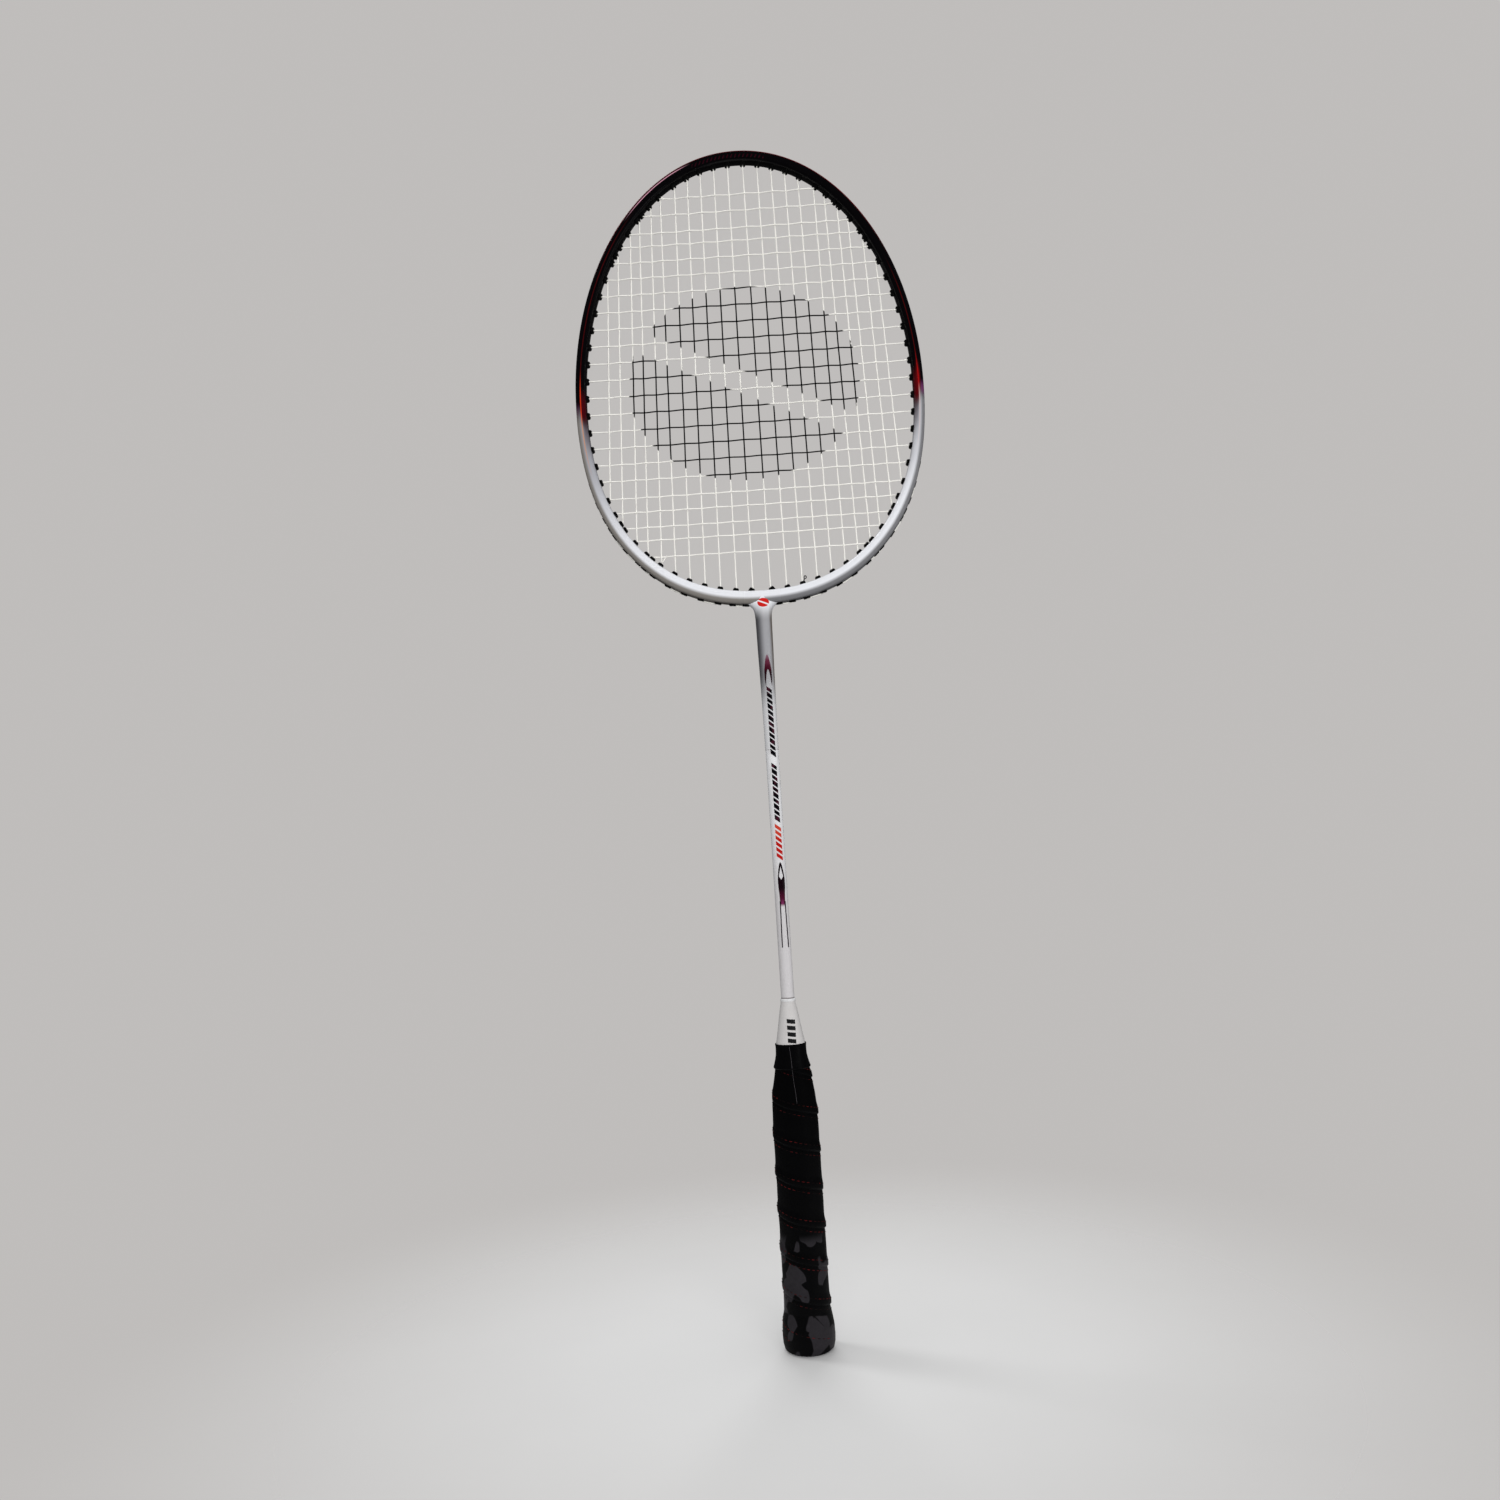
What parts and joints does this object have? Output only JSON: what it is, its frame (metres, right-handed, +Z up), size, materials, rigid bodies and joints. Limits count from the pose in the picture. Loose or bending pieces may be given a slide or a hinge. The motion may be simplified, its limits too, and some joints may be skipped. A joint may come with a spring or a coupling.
{
  "type": "badminton racket",
  "caption": "Badminton racket with an oval hollow head, a woven string bed in plastic grommets, a slim straight shaft and a wound grip that flares at its end.",
  "frame": {"origin": "middle of the flat end of the handle, with the racket standing on it", "axes": "+Z runs up the handle and shaft to the top of the head, +X is across the head, and the string bed lies in the plane y = 0, so +Y is square to it"},
  "size_m": [0.1978, 0.029, 0.668],
  "materials": {
    "frame_paint": "gloss paint on aluminium, black over the upper half fading to silver-white below, with a dark red pinstripe",
    "throat_paint": "gloss silver-white paint on a cast throat piece",
    "shaft_lacquer": "white lacquer on a carbon-fibre tube",
    "cone_plastic": "smooth white plastic",
    "core_wood": "bare limewood, hidden under the grip",
    "grip_rubber": "black tacky synthetic grip with stitch marks",
    "tape_film": "black finishing tape with a slight sheen",
    "butt_plastic": "black moulded plastic",
    "grommet_nylon": "black nylon",
    "main_nylon": "off-white nylon string",
    "cross_nylon": "off-white nylon string"
  },
  "bodies": {
    "root": {"head_frame": "frame_paint", "t_joint": "throat_paint", "shaft": "shaft_lacquer", "handle_core": "core_wood", "cone_cap": "cone_plastic", "grip_wrap": "grip_rubber", "grip_tape": "tape_film", "butt_cap": "butt_plastic", "main_string": "main_nylon", "cross_string": "cross_nylon", "grommets_left_1": "grommet_nylon", "grommets_left_2": "grommet_nylon", "grommets_left_3": "grommet_nylon", "grommets_left_4": "grommet_nylon", "grommets_left_5": "grommet_nylon", "grommets_left_6": "grommet_nylon", "grommets_right_1": "grommet_nylon", "grommets_right_2": "grommet_nylon", "grommets_right_3": "grommet_nylon", "grommets_right_4": "grommet_nylon", "grommets_right_5": "grommet_nylon", "grommets_right_6": "grommet_nylon"}
  },
  "joints": []
}
